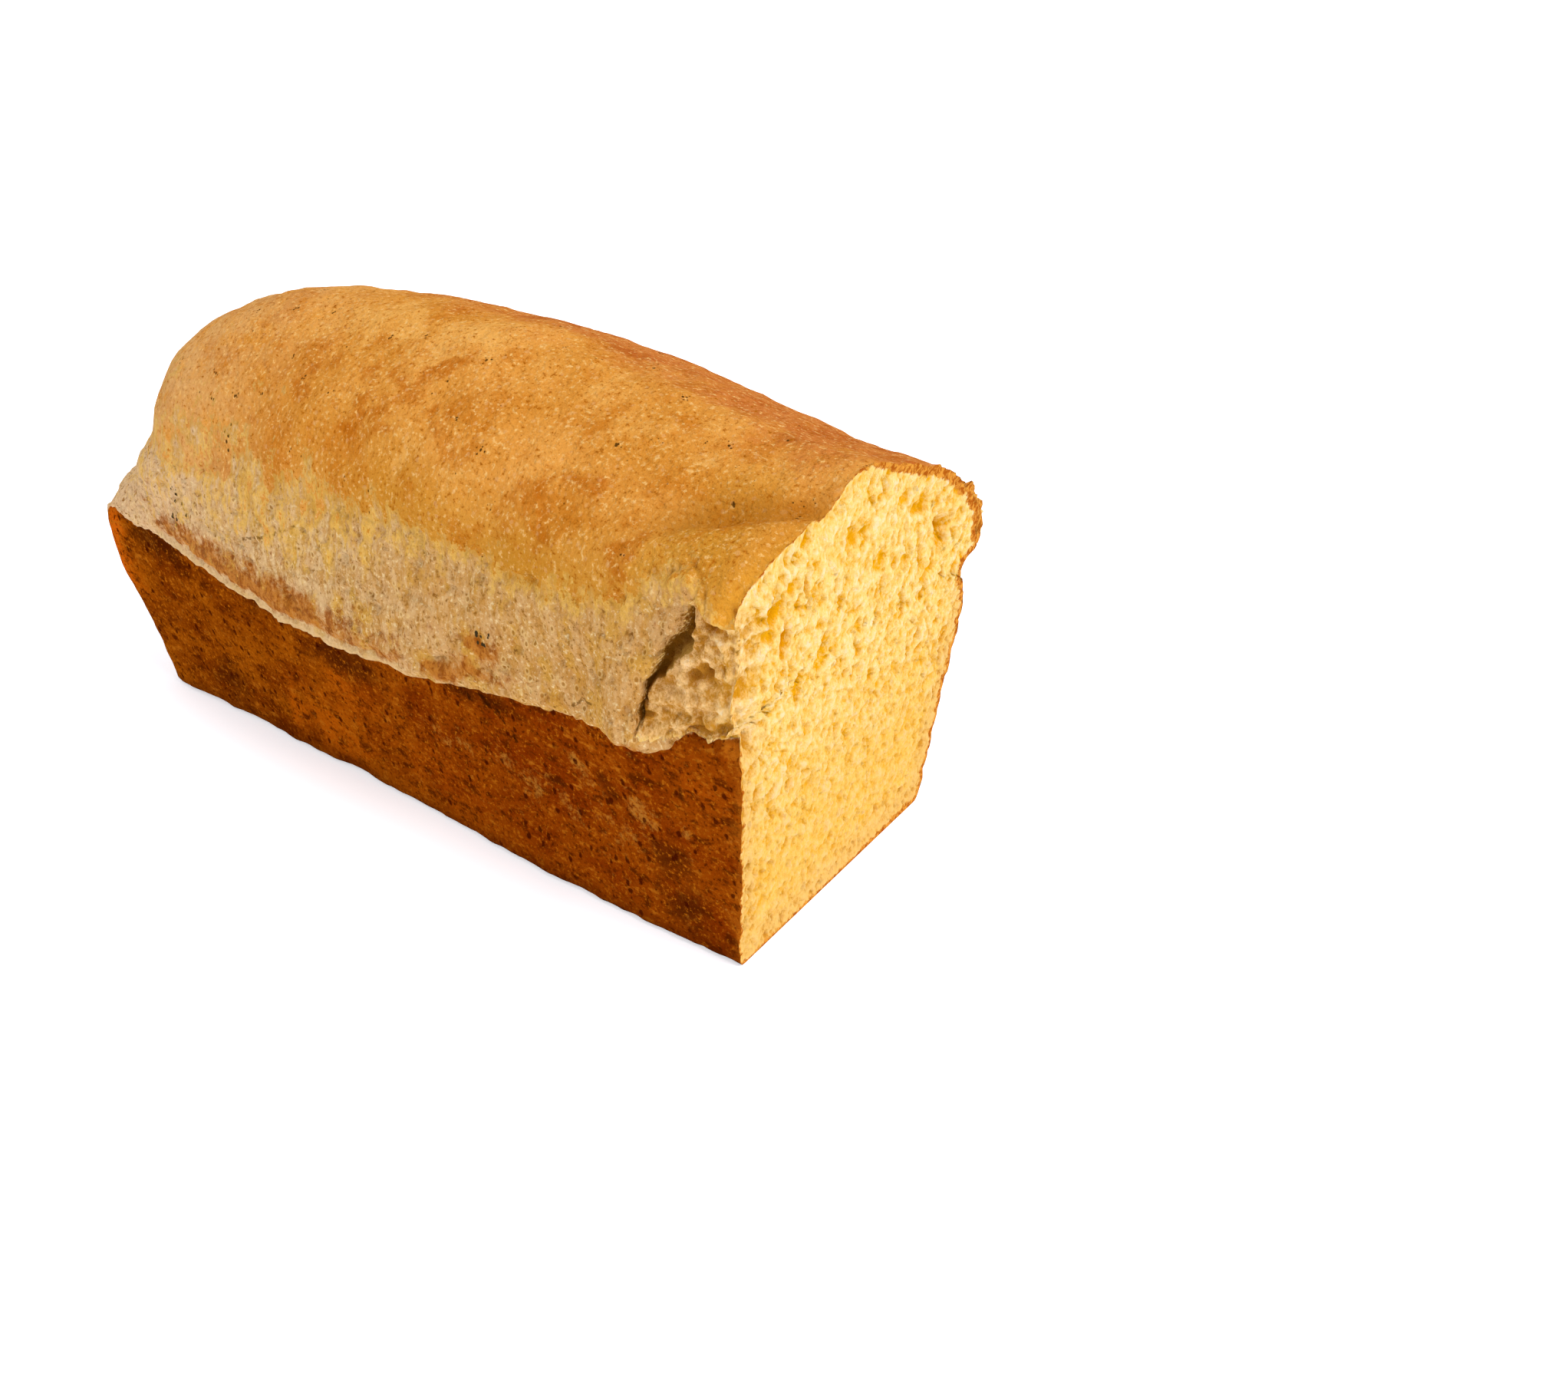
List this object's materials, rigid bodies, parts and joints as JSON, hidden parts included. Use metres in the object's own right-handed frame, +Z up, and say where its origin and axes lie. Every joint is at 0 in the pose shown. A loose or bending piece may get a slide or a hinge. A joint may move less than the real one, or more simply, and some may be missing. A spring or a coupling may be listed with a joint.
{
  "type": "sweet bread loaf",
  "caption": "Tin-baked sweet bread loaf with a domed top, a burst pale band above its brown sides, and one end cut to show the crumb.",
  "frame": {"origin": "centre of the loaf's outline seen from above, on the plane it rests on", "axes": "+X along the loaf towards the cut end, +Z up, -Y the side whose crust burst in the oven"},
  "size_m": [0.264, 0.1132, 0.1289],
  "materials": {
    "bread": null
  },
  "bodies": {
    "root": {"loaf": "bread"}
  },
  "joints": []
}
